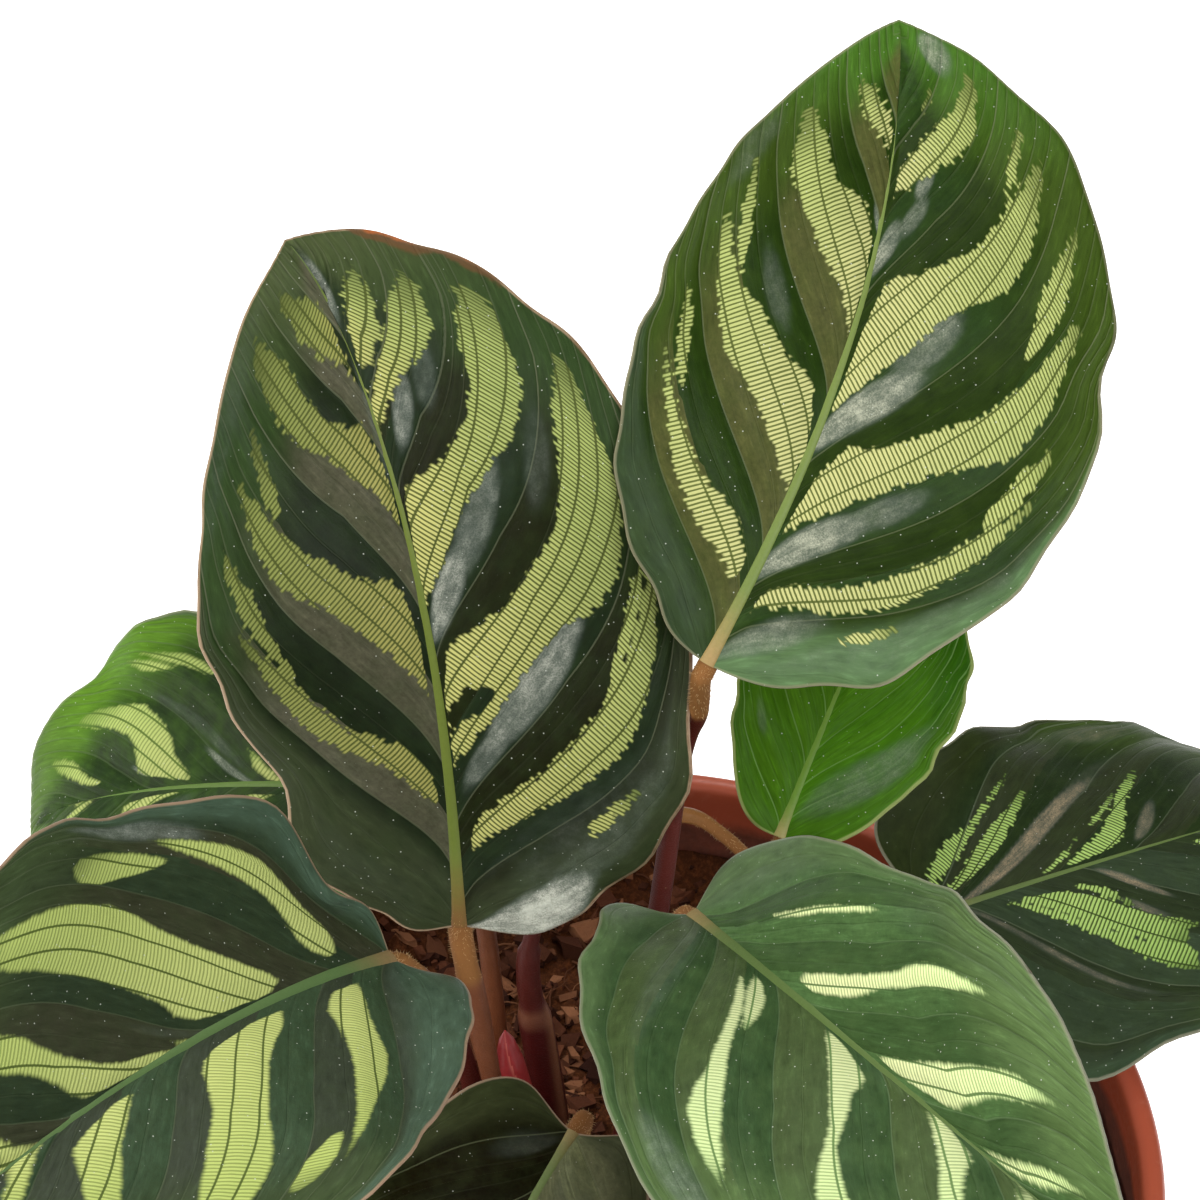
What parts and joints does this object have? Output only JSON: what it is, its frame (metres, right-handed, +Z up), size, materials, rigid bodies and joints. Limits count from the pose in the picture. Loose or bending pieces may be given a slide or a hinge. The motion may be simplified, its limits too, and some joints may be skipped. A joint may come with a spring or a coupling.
{
  "type": "potted calathea",
  "caption": "Young calathea house plant with broad striped leaves on slender red-brown stalks, growing in a tapered terracotta-coloured plastic nursery pot of soil.",
  "frame": {"origin": "centre of the pot's flat base", "axes": "+Z up; -Y to the front, the side the picture is taken from; +X to the right as seen from the front"},
  "size_m": [0.1426, 0.1142, 0.1911],
  "materials": {
    "pot": "satin terracotta-coloured plastic",
    "soil": "rough coir potting mix",
    "leaf": "satin, dark green with pale stripes",
    "young_leaf": "satin, bright green",
    "stalk": "satin, red-brown with a tan joint",
    "shoot": "satin, dark red"
  },
  "bodies": {
    "root": {"pot": "pot", "soil": "soil", "tall_blade": "leaf", "tall_stalk": "stalk", "broad_blade": "leaf", "broad_stalk": "stalk", "low_left_blade": "leaf", "low_left_stalk": "stalk", "low_right_blade": "leaf", "low_right_stalk": "stalk", "right_blade": "leaf", "right_stalk": "stalk", "young_blade": "young_leaf", "young_stalk": "stalk", "back_left_blade": "leaf", "back_left_stalk": "stalk", "front_blade": "leaf", "front_stalk": "stalk", "new_shoot": "shoot"}
  },
  "joints": []
}
